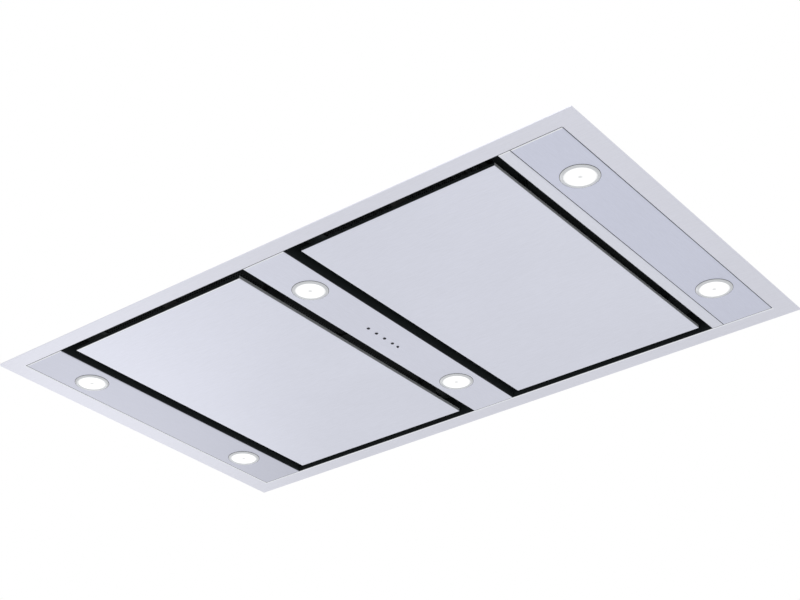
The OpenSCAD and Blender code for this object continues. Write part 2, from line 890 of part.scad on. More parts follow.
// Cheek: the volute's side with an inlet bell and a folded ear under the lid
module volute_cheek() {
    ear_top = lid_z - casing_sheet - axis_z;
    ear_low = volute_end * ear_low_share;
    color(zinc_colour) at_axis() {
        difference() {
            union() {
                slab_x(volute_in, casing_sheet) polygon(volute_outside);
                block([volute_in, -ear_w / 2, ear_low], [volute_in + casing_sheet, ear_w / 2, ear_top]);
                block([volute_in, -ear_w / 2, ear_top - casing_sheet],
                      [volute_in + fold_w, ear_w / 2, ear_top]);
            }
            rod_x(inlet_hole_r - casing_sheet / 2, volute_in - over, casing_sheet + 2 * over);
        }
        translate([volute_in + casing_sheet, 0, 0]) rotate([0, 90, 0]) inlet_bell();
    }
}

// Inlet bell: a quarter-round lip that leads the air inwards
module inlet_bell() {
    rotate_extrude() translate([inlet_hole_r, -bell_r]) intersection() {
        difference() {
            circle(r = bell_r);
            circle(r = bell_r - casing_sheet);
        }
        translate([-bell_r, 0]) square([bell_r, bell_r]);
    }
}

module volute_cheek_left() {
    flip_x(-1) volute_cheek();
}

module volute_cheek_right() {
    volute_cheek();
}

// Impeller: forward-curved blades between two rings, on a centre disc and a hub
function blade_edge(side) = [
    for (i = [0:blade_steps])
        let (s = i / blade_steps, r = blade_in + (blade_out - blade_in) * s)
        let (turn = blade_lean * s * s + side * blade_t / 2 / r * 180 / PI)
        r * [cos(turn), sin(turn)]
];

module impeller() {
    outline = concat(blade_edge(-1), [for (i = [blade_steps:-1:0]) blade_edge(1)[i]]);
    color(plastic_colour) at_axis() difference() {
        union() {
            slab_x(-fan_w / 2, fan_w) for (i = [0:blade_count - 1])
                rotate(i * 360 / blade_count) polygon(outline);
            rod_x(fan_r - end_ring_t / 2, -disc_t / 2, disc_t);
            rod_x(hub_r, -disc_t, hub_l);
            for (side = [-1, 1]) flip_x(side) difference() {
                rod_x(fan_r, fan_w / 2 - end_ring_t, end_ring_t);
                rod_x(fan_r - end_ring_w, fan_w / 2 - end_ring_t - over, end_ring_t + 2 * over);
            }
        }
        rod_x(shaft_r + run_gap, -fan_w, 2 * fan_w);
    }
}

// Fan shaft: from its bearing in the motor to the far face of the hub
module fan_shaft() {
    color(steel_colour) at_axis() rod_x(shaft_r, shaft_from, hub_l - disc_t + slip - shaft_from);
}

// Fan motor: a turned can with a bearing nose, which fills the impeller's left half
module fan_motor() {
    soft = motor_r * motor_soft_share;
    color(plastic_colour) at_axis() difference() {
        translate([motor_back, 0, 0]) rotate([0, 90, 0]) rotate_extrude() polygon([
            [0, 0],
            [motor_r - soft, 0],
            [motor_r, soft],
            [motor_r, motor_l - soft],
            [motor_r - soft, motor_l],
            [motor_nose_r, motor_l],
            [motor_nose_r, motor_l + motor_nose_l],
            [0, motor_l + motor_nose_l]
        ]);
        rod_x(shaft_r + run_gap, shaft_from - slip, motor_back + motor_l + motor_nose_l - shaft_from + over);
    }
}

// Motor bracket: a ring round the motor with three arms on the left cheek
module motor_bracket() {
    start = -volute_in - casing_sheet - arm_t;
    ring_r = motor_r + bracket_ring_w;
    color(zinc_colour) at_axis() difference() {
        union() {
            rod_x(ring_r, start, arm_t);
            for (i = [0:2]) rotate([i * 120, 0, 0])
                block([start, -arm_w / 2, 0], [start + arm_t, arm_w / 2, inlet_hole_r + bell_r]);
        }
        rod_x(motor_r + run_gap, start - over, arm_t + 2 * over);
    }
}

// Duct collar: a tube behind a screw ring, with blind holes for the flaps' pins
module collar_screw_places() {
    translate([0, 0, collar_z]) for (i = [0:3]) rotate([0, 45 + 90 * i, 0])
        translate([0, 0, collar_r + collar_ring_w / 2]) children();
}

module duct_collar() {
    y = box_d / 2;
    color(zinc_colour) difference() {
        translate([0, 0, collar_z]) {
            rod_y(collar_r, y, collar_l);
            rod_y(collar_r + collar_ring_w, y, collar_ring_t);
        }
        translate([0, 0, collar_z]) rod_y(collar_in, y - over, collar_l + 2 * over);
        collar_screw_places() rod_y(screw_r + run_gap, y - over, collar_ring_t + 2 * over);
        for (side = [-1, 1]) translate([side * flap_axis, flap_y, collar_z - flap_pin_l / 2])
            cylinder(r = flap_pin_r + run_gap, h = flap_pin_l);
    }
}

module flap_pins() {
    reach = flap_pin_l / 2 - run_gap;
    color(steel_colour) for (side = [-1, 1])
        translate([side * flap_axis, flap_y, collar_z - reach]) cylinder(r = flap_pin_r, h = 2 * reach);
}

// Flap: a half disc with a barrel along its pin
module flap(side) {
    reach = flap_r - barrel_r;
    color(plastic_colour) flip_x(side) translate([0, flap_y, collar_z]) difference() {
        union() {
            translate([0, flap_t / 2, 0]) rotate([90, 0, 0]) linear_extrude(height = flap_t)
                intersection() {
                    circle(r = flap_r);
                    translate([flap_axis, -flap_r]) square(2 * flap_r);
                }
            translate([flap_axis, 0, -reach]) cylinder(r = barrel_r, h = 2 * reach);
        }
        translate([flap_axis, 0, -flap_r]) cylinder(r = flap_pin_r + run_gap, h = 2 * flap_r);
    }
}

module flap_left() {
    flap(-1);
}

module flap_right() {
    flap(1);
}

// Panel: a flat tray with folded edges, hung from its outer edge
module panel(i) {
    color(steel_colour) at_face()
        rounded_pan([panels[i][0], -panel_y, 0], [panels[i][1], panel_y, panel_edge_h],
                    panel_sheet, panel_bend_r);
}

// Sheet behind the panel: a lid with edges folded down to the tray, and the hinge lugs
module panel_back(i) {
    in = panel_sheet + slip;
    low = [panels[i][0] + in, -panel_y + in, panel_sheet];
    high = [panels[i][1] - in, panel_y - in, back_top];
    color(black_colour) at_face() {
        difference() {
            block(low, high);
            block(low + [back_sheet, back_sheet, -over], high - [back_sheet, back_sheet, back_sheet]);
        }
        for (side = [-1, 1]) difference() {
            translate([pivots[i], side * hinge_y, 0]) {
                block([-ear_r, -lug_t / 2, back_top - back_sheet / 2], [ear_r, lug_t / 2, pivot_h]);
                translate([0, 0, pivot_h]) rod_y(ear_r, -lug_t / 2, lug_t);
            }
            translate([pivots[i], side * hinge_y, pivot_h]) rod_y(hinge_pin_r + run_gap, -lug_t, 2 * lug_t);
        }
    }
}

// Hinge brackets: clevises under the filter frames' ledges
module hinge_brackets() {
    inside = lug_t / 2 + 2 * slip;
    color(black_colour) at_face() for (x = pivots) for (side = [-1, 1])
        translate([x, side * hinge_y, 0]) difference() {
            union() {
                block([-ear_r, -inside - ear_t, pivot_h], [ear_r, inside + ear_t, filter_top]);
                translate([0, 0, pivot_h]) rod_y(ear_r, -inside - ear_t, 2 * (inside + ear_t));
            }
            block([-ear_r - over, -inside, pivot_h - ear_r - over],
                  [ear_r + over, inside, filter_top - ear_t]);
            translate([0, 0, pivot_h]) rod_y(hinge_pin_r + run_gap, -2 * ear_r, 4 * ear_r);
        }
}

module hinge_pins() {
    reach = lug_t / 2 + 2 * slip + ear_t;
    color(steel_colour) at_face() for (x = pivots) for (side = [-1, 1])
        translate([x, side * hinge_y, pivot_h]) {
            rod_y(hinge_pin_r, -reach, 2 * reach + slip);
            rod_y(hinge_pin_r * pin_head_share, reach, ear_t / 2);
        }
}

// Catch magnets: posts under the ledges, just clear of the panels' backs
module catch_magnets() {
    places = [
        [panels[0][1] - catch_w - panel_sheet - slip, panels[0][1] - panel_sheet - slip],
        [panels[1][0] + panel_sheet + slip, panels[1][0] + catch_w + panel_sheet + slip]
    ];
    color(plastic_colour) at_face() for (x = places) for (side = [-1, 1]) flip_y(side)
        block([x[0], hinge_y - catch_l / 2, back_top + slip], [x[1], hinge_y + catch_l / 2, filter_top]);
}

// Casing screws: in the hanger brackets, the blower box's feet and the collar's ring
module casing_screw() {
    cylinder(r1 = head_r, r2 = screw_r * head_top_share, h = head_h);
    translate([0, 0, -screw_l]) cylinder(r = screw_r, h = screw_l);
}

module casing_screws() {
    color(steel_colour) {
        translate([0, 0, deck_z + bracket_t]) bracket_screw_places() casing_screw();
        translate([0, 0, deck_z + casing_sheet]) foot_screw_places() casing_screw();
        collar_screw_places() translate([0, box_d / 2 + collar_ring_t, 0])
            rotate([-90, 0, 0]) casing_screw();
    }
}

flange_frame();
plenum_side_walls();
plenum_end_walls();
plenum_deck();
blower_box();
hanger_brackets();
strip_left();
strip_centre();
strip_right();
hinge_rail();
filter_frame_left();
filter_frame_right();
filter_meshes_left();
filter_meshes_right();
for (i = [1:4]) filter_rim(i);
for (i = [1:4]) filter_latch(i);
for (i = [1:6]) lamp_ring(i);
lamp_lenses();
lamp_modules();
for (i = [1:button_count]) push_button(i);
remote_receiver();
button_housing();
control_board();
lamp_driver();
terminal_box();
cable_gland();
volute_band();
volute_cheek_left();
volute_cheek_right();
impeller();
fan_shaft();
fan_motor();
motor_bracket();
duct_collar();
flap_left();
flap_right();
flap_pins();
panel(0);  // panel_left
panel(1);  // panel_right
panel_back(0);  // panel_back_left
panel_back(1);  // panel_back_right
hinge_brackets();
hinge_pins();
catch_magnets();
casing_screws();
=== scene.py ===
import math

import bmesh
import bpy
from mathutils import Matrix, Vector


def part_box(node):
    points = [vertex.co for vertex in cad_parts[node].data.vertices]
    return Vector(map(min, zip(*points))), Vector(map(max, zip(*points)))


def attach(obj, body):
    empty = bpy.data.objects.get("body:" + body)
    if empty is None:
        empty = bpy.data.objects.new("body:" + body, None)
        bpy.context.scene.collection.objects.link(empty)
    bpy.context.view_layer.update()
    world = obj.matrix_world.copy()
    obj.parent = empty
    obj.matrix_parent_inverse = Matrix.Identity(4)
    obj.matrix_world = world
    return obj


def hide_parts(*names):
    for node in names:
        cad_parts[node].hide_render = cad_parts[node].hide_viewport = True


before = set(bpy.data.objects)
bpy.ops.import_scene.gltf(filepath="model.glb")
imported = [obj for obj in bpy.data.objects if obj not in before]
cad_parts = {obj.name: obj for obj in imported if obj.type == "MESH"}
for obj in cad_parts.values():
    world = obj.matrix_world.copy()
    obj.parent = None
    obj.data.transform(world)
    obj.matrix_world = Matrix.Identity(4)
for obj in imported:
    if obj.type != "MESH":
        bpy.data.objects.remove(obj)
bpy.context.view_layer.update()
scene = bpy.context.scene
scene.view_settings.view_transform = "Standard"

# Camera. It stands below the hood's near right side and looks up. Its place, lens and small
# shift come from a perspective fit to the flange's four corners.
camera_lens = bpy.data.cameras.new("camera")
camera_lens.lens = 72.85
camera_lens.sensor_width = 36
camera_lens.shift_x = 0.02942
camera_lens.shift_y = 0.00062
tilt, roll, heading = 120.8207, -0.2195, 38.6905
camera = bpy.data.objects.new("camera", camera_lens)
camera.location = (1.50220, -1.89589, -1.52290)
camera.rotation_euler = [math.radians(angle) for angle in (tilt, roll, heading)]
scene.collection.objects.link(camera)
scene.camera = camera


# Studio. The room is white all round, so that steel mirrors white. The camera sees it pure white,
# and what the hood mirrors of it is a little darker.
def add(tree, kind, inputs=(), **settings):
    """Adds a node to a tree, with its settings and with a value or a link for each input."""
    made = tree.nodes.new(kind)
    for name, value in settings.items():
        setattr(made, name, value)
    for socket, value in dict(inputs).items():
        if isinstance(value, bpy.types.NodeSocket):
            tree.links.new(value, made.inputs[socket])
        else:
            made.inputs[socket].default_value = value
    return made


room_level = 0.86
world = bpy.data.worlds.new("studio")
scene.world = world
world.use_nodes = True
room = world.node_tree
room.nodes.clear()
path = add(room, "ShaderNodeLightPath")
seen = add(room, "ShaderNodeMath", {0: path.outputs["Is Camera Ray"], 1: path.outputs["Is Transmission Ray"]},
           operation="MAXIMUM")
level = add(room, "ShaderNodeMapRange", {"Value": seen.outputs[0], "To Min": room_level, "To Max": 1.0})
air = add(room, "ShaderNodeBackground", {"Color": (1, 1, 1, 1), "Strength": level.outputs[0]})
add(room, "ShaderNodeOutputWorld", {"Surface": air.outputs[0]})


# Ceiling. White painted board, cut out where the hood's casing passes through. It shows from below
# only, and light passes it, so that it neither shades nor brightens the hood.
def linear(code):
    """An sRGB hex colour as the linear colour that a shader takes."""
    parts = [int(code[i:i + 2], 16) / 255 for i in (1, 3, 5)]
    return [p / 12.92 if p <= 0.04045 else ((p + 0.055) / 1.055) ** 2.4 for p in parts] + [1]


def finish_of(name, **values):
    """A new material with its shader's own values set. Gives the material, its tree and shader."""
    material = bpy.data.materials.new(name)
    material.use_nodes = True
    tree = material.node_tree
    shader = tree.nodes["Principled BSDF"]
    for socket, value in values.items():
        shader.inputs[socket.replace("_", " ")].default_value = value
    return material, tree, shader


def as_mesh(name, shape):
    """Turns a finished bmesh into a mesh. Bmesh leaves the order of its faces to chance, so they are
    sorted by their corners, and the mesh is the same on each run."""
    shape.verts.index_update()
    by_corners = sorted(shape.faces, key=lambda face: [vert.index for vert in face.verts])
    for rank, face in enumerate(by_corners):
        face.index = rank
    shape.faces.sort()
    mesh = bpy.data.meshes.new(name)
    shape.to_mesh(mesh)
    shape.free()
    return mesh


def put(name, shape, material):
    """Turns a finished bmesh into an object of one material and puts it in the scene."""
    piece = bpy.data.objects.new(name, as_mesh(name, shape))
    piece.data.materials.append(material)
    scene.collection.objects.link(piece)
    return piece


board, tree, shader = finish_of("ceiling_paint", Base_Color=linear("#FFFFFF"), Roughness=0.9)
side = add(tree, "ShaderNodeNewGeometry")
glow = add(tree, "ShaderNodeEmission", {"Color": (1, 1, 1, 1), "Strength": 1.0})
clear = add(tree, "ShaderNodeBsdfTransparent")
choice = add(tree, "ShaderNodeMixShader", {0: side.outputs["Backfacing"], 1: glow.outputs[0],
                                           2: clear.outputs[0]})
tree.links.new(choice.outputs[0], tree.nodes["Material Output"].inputs["Surface"])

MM = 0.001
flange_low, flange_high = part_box("flange_frame")
shell_x, shell_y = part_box("plenum_end_walls")[1].x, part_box("plenum_side_walls")[1].y
flange_sheet, air_gap, cut_room, board_reach = 1.5 * MM, 0.2 * MM, 0.5 * MM, 6.0
shape = bmesh.new()
outer, inner = [
    [shape.verts.new((sx * x, sy * y, flange_low.z + flange_sheet + air_gap))
     for sx, sy in ((-1, -1), (1, -1), (1, 1), (-1, 1))]
    for x, y in ((board_reach, board_reach), (shell_x + cut_room, shell_y + cut_room))]
for i in range(4):
    j = (i + 1) % 4
    shape.faces.new((outer[j], outer[i], inner[i], inner[j]))
ceiling = put("ceiling", shape, board)
for ray in ("diffuse", "glossy", "transmission", "volume_scatter", "shadow"):
    setattr(ceiling, "visible_" + ray, False)

# Floor. Pale painted floor, so far beneath the hood and so wide that steel mirrors it as an even
# white.
floor_reach, floor_z = 40, -5.2
floor_paint = finish_of("floor_paint", Base_Color=linear("#F4F4F4"), Roughness=0.8)[0]
shape = bmesh.new()
bmesh.ops.create_grid(shape, x_segments=1, y_segments=1, size=floor_reach,
                      matrix=Matrix.Translation((0, 0, floor_z)))
floor = put("floor", shape, floor_paint)

# Lamps of the studio: a wide one above, and three low ones around the place that the face mirrors.
# Two brighten its left half, near and far, and one faintly its near right corner.
for name, place, aim, size, watts in (
    ("softbox_above", (-1.2, -1.6, 3.4), (0, 0, 0), 2.6, 40),
    ("softbox_left", (-3.6, 1.5, -2.1), (-0.3, -0.2, -0.155), 1.6, 1.7),
    ("softbox_far_left", (-3.9, 2.9, -2.2), (-0.5, 0.3, -0.155), 1.2, 2.2),
    ("softbox_near_right", (-0.75, 1.75, -2.0), (0.5, -0.3, -0.155), 1.0, 0.31),
):
    light = bpy.data.lights.new(name, "AREA")
    light.size = size
    light.energy = watts
    softbox = bpy.data.objects.new(name, light)
    softbox.location = place
    softbox.rotation_euler = (Vector(aim) - Vector(place)).to_track_quat("-Z", "Y").to_euler()
    softbox.visible_camera = False
    scene.collection.objects.link(softbox)

# Fill in the bays. A faint flat lamp over each panel lifts the dark of the slots to the tone that the
# light from the hood's own lamps gives it.
for side in ("left", "right"):
    back_low, back_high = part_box("panel_back_" + side)
    light = bpy.data.lights.new("bay_fill_" + side, "AREA")
    light.shape = "RECTANGLE"
    light.size, light.size_y = back_high.x - back_low.x, back_high.y - back_low.y
    light.energy = 0.10
    fill = bpy.data.objects.new("bay_fill_" + side, light)
    fill.location = (*((back_low + back_high) / 2).xy, back_high.z + 1 * MM)
    fill.rotation_euler = (math.pi, 0, 0)
    fill.visible_camera = False
    scene.collection.objects.link(fill)


# The flange. A ring of brushed stainless steel sheet, cut and folded on a press. Its inner lip carries the
# casing, and is painted black where it shows in the slots. The lowest edge of its lip walls is drawn near
# white, painted light that lifts the shade in its seams, and painted highlights run along its inner edge at
# the far end and at the left side.
def brushed_steel(name, colour, roughness, along=(1, 1, 1), tone=0.07):
    """Brushed metal: fine lines, stretched by the small number in along, over wide faint clouds left
    by the mill. The lines are drawn 0.6 mm wide, coarser than real ones, so that they show."""
    line_size, line_depth, line_share = 0.6 * MM, 0.03 * MM, 3.0
    cloud_size, rough_swing = 180 * MM, 0.04
    darkest, lightest = 0.2 * (line_share + 1), 0.8 * (line_share + 1)
    material, tree, shader = finish_of(name, Metallic=1.0)
    place = add(tree, "ShaderNodeTexCoord")
    drawn = add(tree, "ShaderNodeMapping", {"Vector": place.outputs["Object"], "Scale": along})
    lines = add(tree, "ShaderNodeTexNoise", {"Vector": drawn.outputs[0], "Scale": 1 / line_size,
                                             "Detail": 3.0})
    cloud = add(tree, "ShaderNodeTexNoise", {"Vector": place.outputs["Object"], "Scale": 1 / cloud_size,
                                             "Detail": 2.0})
    mixed = add(tree, "ShaderNodeMath", {0: lines.outputs[0], 1: line_share, 2: cloud.outputs[0]},
                operation="MULTIPLY_ADD")
    shade = add(tree, "ShaderNodeMapRange", {"Value": mixed.outputs[0], "From Min": darkest,
                                             "From Max": lightest, "To Min": 1 - tone, "To Max": 1 + tone})
    paint = add(tree, "ShaderNodeVectorMath", {0: linear(colour)[:3], "Scale": shade.outputs[0]},
                operation="SCALE")
    tree.links.new(paint.outputs[0], shader.inputs["Base Color"])
    rough = add(tree, "ShaderNodeMapRange", {"Value": mixed.outputs[0], "From Min": darkest,
                                             "From Max": lightest, "To Min": roughness - rough_swing,
                                             "To Max": roughness + rough_swing})
    tree.links.new(rough.outputs[0], shader.inputs["Roughness"])
    bump = add(tree, "ShaderNodeBump", {"Height": lines.outputs[0], "Strength": 0.25, "Distance": line_depth})
    tree.links.new(bump.outputs[0], shader.inputs["Normal"])
    return material


def coat_walls(material, low, high, sides="#181F21", ends="#181F21", edge_sides="#A8ABAE",
               edge_ends="#F2F2F4", lines=()):
    """Paints the folded walls of a pressed face inside the box low to high. Sides are the walls that face
    along X, ends those along Y. The lowest 0.7 mm of each wall, at the sheet's edge, has colours of its own:
    painted light and shade that set how dark the seams show. Each of lines, an axis and a place on it, is a
    painted highlight, a lighter line where the fold's radius would catch the light."""
    sheet_edge, blend, reach, coat_rough = 0.7 * MM, 0.4 * MM, 0.1 * MM, 0.3
    tree = material.node_tree
    shader = tree.nodes["Principled BSDF"]
    steel = shader.inputs["Base Color"].links[0].from_socket
    place = add(tree, "ShaderNodeTexCoord")
    axes = add(tree, "ShaderNodeSeparateXYZ", {0: place.outputs["Object"]})
    inside = []
    for i, axis in enumerate("XY"):
        inside.append(add(tree, "ShaderNodeMath", {0: axes.outputs[axis], 1: (low[i] + high[i]) / 2,
                                                   2: (high[i] - low[i]) / 2 + reach}, operation="COMPARE"))
    # Painted highlights: each line mixes a near-white colour into the steel where a fold's radius would catch
    # the light.
    for axis, middle in lines:
        across = inside["YX".index(axis)]
        beside = add(tree, "ShaderNodeMath", {0: axes.outputs[axis], 1: middle}, operation="SUBTRACT")
        away = add(tree, "ShaderNodeMath", {0: beside.outputs[0]}, operation="ABSOLUTE")
        soft = add(tree, "ShaderNodeMapRange", {"Value": away.outputs[0], "From Min": 0.3 * line_w,
                                                "From Max": 0.7 * line_w, "To Min": 1.0, "To Max": 0.0},
                   interpolation_type="SMOOTHSTEP")
        line = add(tree, "ShaderNodeMath", {0: soft.outputs[0], 1: across.outputs[0]}, operation="MULTIPLY")
        steel = add(tree, "ShaderNodeMix", {0: line.outputs[0], 6: steel, 7: linear("#F8FAFF")},
                    data_type="RGBA").outputs[2]
    within = add(tree, "ShaderNodeMath", {0: inside[0].outputs[0], 1: inside[1].outputs[0]},
                 operation="MULTIPLY")
    height = add(tree, "ShaderNodeMapRange", {"Value": axes.outputs["Z"], "From Min": low.z + sheet_edge,
                                              "From Max": low.z + sheet_edge + blend})
    facing = add(tree, "ShaderNodeSeparateXYZ", {0: place.outputs["Normal"]})
    lean = add(tree, "ShaderNodeMath", {0: facing.outputs["Z"]}, operation="ABSOLUTE")
    upright = add(tree, "ShaderNodeMapRange", {"Value": lean.outputs[0], "From Min": 0.3, "From Max": 0.5,
                                               "To Min": 1.0, "To Max": 0.0})
    either = add(tree, "ShaderNodeMath", {0: height.outputs[0], 1: upright.outputs[0]}, operation="MAXIMUM")
    mask = add(tree, "ShaderNodeMath", {0: within.outputs[0], 1: either.outputs[0]}, operation="MULTIPLY")
    along = add(tree, "ShaderNodeMath", {0: facing.outputs["X"]}, operation="ABSOLUTE")
    turn = add(tree, "ShaderNodeMapRange", {"Value": along.outputs[0], "From Min": 0.5, "From Max": 0.7})
    wall = add(tree, "ShaderNodeMix", {0: turn.outputs[0], 6: linear(ends), 7: linear(sides)},
               data_type="RGBA")
    # The lowest edge of each wall: painted light and shade that set how dark the seams show.
    bare = add(tree, "ShaderNodeMix", {0: turn.outputs[0], 6: linear(edge_ends), 7: linear(edge_sides)},
               data_type="RGBA")
    coat = add(tree, "ShaderNodeMix", {0: height.outputs[0], 6: bare.outputs[2], 7: wall.outputs[2]},
               data_type="RGBA")
    paint = add(tree, "ShaderNodeMix", {0: mask.outputs[0], 6: steel, 7: coat.outputs[2]}, data_type="RGBA")
    tree.links.new(paint.outputs[2], shader.inputs["Base Color"])
    metal = add(tree, "ShaderNodeMath", {0: 1.0, 1: mask.outputs[0]}, operation="SUBTRACT")
    tree.links.new(metal.outputs[0], shader.inputs["Metallic"])
    rough = shader.inputs["Roughness"].links[0].from_socket
    dull = add(tree, "ShaderNodeMath", {0: mask.outputs[0], 1: coat_rough, 2: rough},
               operation="MULTIPLY_ADD")
    tree.links.new(dull.outputs[0], shader.inputs["Roughness"])


def dress(material, *names):
    """Puts a material on CAD nodes, whose meshes stay as they are."""
    for name in names:
        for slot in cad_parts[name].material_slots:
            slot.link = "OBJECT"
            slot.material = material


line_w, seam = 2 * MM, 0.5 * MM
strip_low, strip_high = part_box("strip_left")
lip_low = Vector((strip_low.x - seam - line_w, -strip_high.y - seam - line_w, flange_low.z))
lip_high = Vector((-lip_low.x, -lip_low.y, flange_high.z))
flange_steel = brushed_steel("brushed_stainless_flange", "#E4E5EF", 0.38, along=(0.03, 1, 1))
# Near-white sheet edges are painted light that lifts the seams' shade; the two lines are painted highlights.
coat_walls(flange_steel, lip_low, lip_high, edge_sides="#F2F2F4",
           lines=(("Y", lip_high.y - line_w / 2), ("X", lip_low.x + line_w / 2)))
dress(flange_steel, "flange_frame")

# The two panels. The same sheet, folded to a shallow tray. The walls at their near and far ends are painted
# black and those at their sides a light grey: painted shade on the ends and painted light on the sides, as
# the lamps fall on them. The lowest edge of their walls is painted grey, and a painted highlight runs along
# the left panel's near edge, where its fold would catch the light.
for side in ("left", "right"):
    panel_low, panel_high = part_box("panel_" + side)
    panel_steel = brushed_steel("brushed_stainless_panel_" + side, "#E3E5F1", 0.38, along=(0.03, 1, 1))
    # Grey sides, black ends and a grey lowest edge are painted light and shade; the left panel's line is a
    # painted highlight.
    coat_walls(panel_steel, panel_low, panel_high, sides="#989B9E", edge_ends="#6A6D70",
               lines=[("Y", panel_low.y + line_w / 2)] if side == "left" else ())
    dress(panel_steel, "panel_" + side)

# The three lamp strips and the rail. The same sheet, brushed across the hood; the left strip is drawn
# slightly darker, painted shade. Their folded walls are painted black. Each row ends with the tones of the
# lowest edge of their walls, at the ends and at the sides: painted light and shade that set how dark each
# seam shows. A painted highlight runs along each near end, where the fold's radius would catch the light.
# The left strip's darker colour is painted shade.
for name, colour, edge_ends, edge_sides in (("strip_left", "#CBCDDA", "#F2F2F4", "#6A6D70"),
                                            ("strip_centre", "#DFE1EE", "#6A6D70", "#6A6D70"),
                                            ("strip_right", "#D7DAEA", "#5A5D60", "#6A6D70"),
                                            ("hinge_rail", "#E3E5EF", "#F2F2F4", "#F2F2F4")):
    strip_low, strip_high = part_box(name)
    strip_steel = brushed_steel("brushed_stainless_" + name, colour, 0.36, along=(1, 0.03, 1))
    # Edge tones are painted light and shade in the seams; the near-end line is a painted highlight.
    coat_walls(strip_steel, strip_low, strip_high, edge_sides=edge_sides, edge_ends=edge_ends,
               lines=[("Y", strip_low.y + line_w / 2)])
    dress(strip_steel, name)


# Black sheets: the filter frames, the sheets behind the panels and the hinge brackets. Folded steel
# with a matt black powder coat, whose fine orange peel, 1.2 mm from crest to crest, scatters light.
def two_tone(name, low, high, size, detail, **values):
    """A material whose tone wanders between two colours in specks of one size. Gives the material,
    its tree, shader and pattern."""
    material, tree, shader = finish_of(name, **values)
    place = add(tree, "ShaderNodeTexCoord")
    specks = add(tree, "ShaderNodeTexNoise", {"Vector": place.outputs["Object"], "Scale": 1 / size,
                                              "Detail": detail})
    tint = add(tree, "ShaderNodeMix", {0: specks.outputs[0], 6: linear(low), 7: linear(high)},
               data_type="RGBA")
    tree.links.new(tint.outputs[2], shader.inputs["Base Color"])
    return material, tree, shader, specks


black_coat, tree, shader, peel = two_tone("powder_coat_black", "#171D1F", "#1E2527", 1.2 * MM, 2.0,
                                          Roughness=0.75, IOR=1.4)
bump = add(tree, "ShaderNodeBump", {"Height": peel.outputs[0], "Strength": 0.15, "Distance": 0.03 * MM})
tree.links.new(bump.outputs[0], shader.inputs["Normal"])
dress(black_coat, "filter_frame_left", "filter_frame_right", "panel_back_left", "panel_back_right",
      "hinge_brackets")


# Casing. Galvanised steel sheet, folded and riveted. Zinc crystals a centimetre wide, each with its
# own tone, lie under faint grey rolling marks that run along the coil.
def galvanised(name):
    """Zinc-coated steel with its crystals and rolling marks."""
    crystal_size, mark_size, coil_stretch = 11 * MM, 2.5 * MM, 0.02
    material, tree, shader = finish_of(name, Metallic=0.9)
    place = add(tree, "ShaderNodeTexCoord")
    crystals = add(tree, "ShaderNodeTexVoronoi", {"Vector": place.outputs["Object"],
                                                  "Scale": 1 / crystal_size})
    tint = add(tree, "ShaderNodeMix", {0: crystals.outputs["Color"], 6: linear("#AEB3B7"),
                                       7: linear("#C1C6C9")}, data_type="RGBA")
    coil = add(tree, "ShaderNodeMapping", {"Vector": place.outputs["Object"],
                                           "Scale": (coil_stretch, 1, 1)})
    marks = add(tree, "ShaderNodeTexNoise", {"Vector": coil.outputs[0], "Scale": 1 / mark_size,
                                             "Detail": 3.0})
    worn = add(tree, "ShaderNodeMapRange", {"Value": marks.outputs[0], "From Min": 0.3, "From Max": 0.7,
                                            "To Min": 0.93, "To Max": 1.03})
    paint = add(tree, "ShaderNodeVectorMath", {0: tint.outputs[2], "Scale": worn.outputs[0]},
                operation="SCALE")
    tree.links.new(paint.outputs[0], shader.inputs["Base Color"])
    rough = add(tree, "ShaderNodeMapRange", {"Value": crystals.outputs["Color"], "To Min": 0.34,
                                             "To Max": 0.52})
    tree.links.new(rough.outputs[0], shader.inputs["Roughness"])
    bump = add(tree, "ShaderNodeBump", {"Height": marks.outputs[0], "Strength": 0.2, "Distance": 0.02 * MM})
    tree.links.new(bump.outputs[0], shader.inputs["Normal"])
    return material


zinc = galvanised("galvanised_steel")
dress(zinc, "plenum_side_walls", "plenum_end_walls", "plenum_deck", "hanger_brackets", "volute_band",
      "volute_cheek_left", "volute_cheek_right", "motor_bracket", "duct_collar")

# Blower box. The same sheet, whose lid is cross-broken: two shallow creases from corner to corner
# keep the flat lid from drumming. They are 10 mm wide and stand up to 1.2 mm.
box_l, box_d, foot_w = 460 * MM, 340 * MM, 14 * MM
crease_half, crease_h, lid_skin = 5 * MM, 1.2 * MM, 0.4 * MM
box_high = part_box("blower_box")[1]
lid_x, lid_y = box_high.x, box_high.y - foot_w
lid_half = math.hypot(lid_x, lid_y)
box_zinc = galvanised("galvanised_steel_cross_broken")
tree = box_zinc.node_tree
place = add(tree, "ShaderNodeTexCoord")
axes = add(tree, "ShaderNodeSeparateXYZ", {0: place.outputs["Object"]})
reach_x = add(tree, "ShaderNodeMath", {0: axes.outputs["X"]}, operation="ABSOLUTE")
reach_y = add(tree, "ShaderNodeMath", {0: axes.outputs["Y"]}, operation="ABSOLUTE")
part_x = add(tree, "ShaderNodeMath", {0: reach_x.outputs[0], 1: lid_y / lid_half}, operation="MULTIPLY")
part_y = add(tree, "ShaderNodeMath", {0: reach_y.outputs[0], 1: -lid_x / lid_half, 2: part_x.outputs[0]},
             operation="MULTIPLY_ADD")
away = add(tree, "ShaderNodeMath", {0: part_y.outputs[0]}, operation="ABSOLUTE")
crease = add(tree, "ShaderNodeMapRange", {"Value": away.outputs[0], "From Max": crease_half, "To Min": 1.0,
                                          "To Max": 0.0}, interpolation_type="SMOOTHSTEP")
top = add(tree, "ShaderNodeMapRange", {"Value": axes.outputs["Z"], "From Min": box_high.z - lid_skin,
                                       "From Max": box_high.z - lid_skin / 2})
fold = add(tree, "ShaderNodeMath", {0: crease.outputs[0], 1: top.outputs[0]}, operation="MULTIPLY")
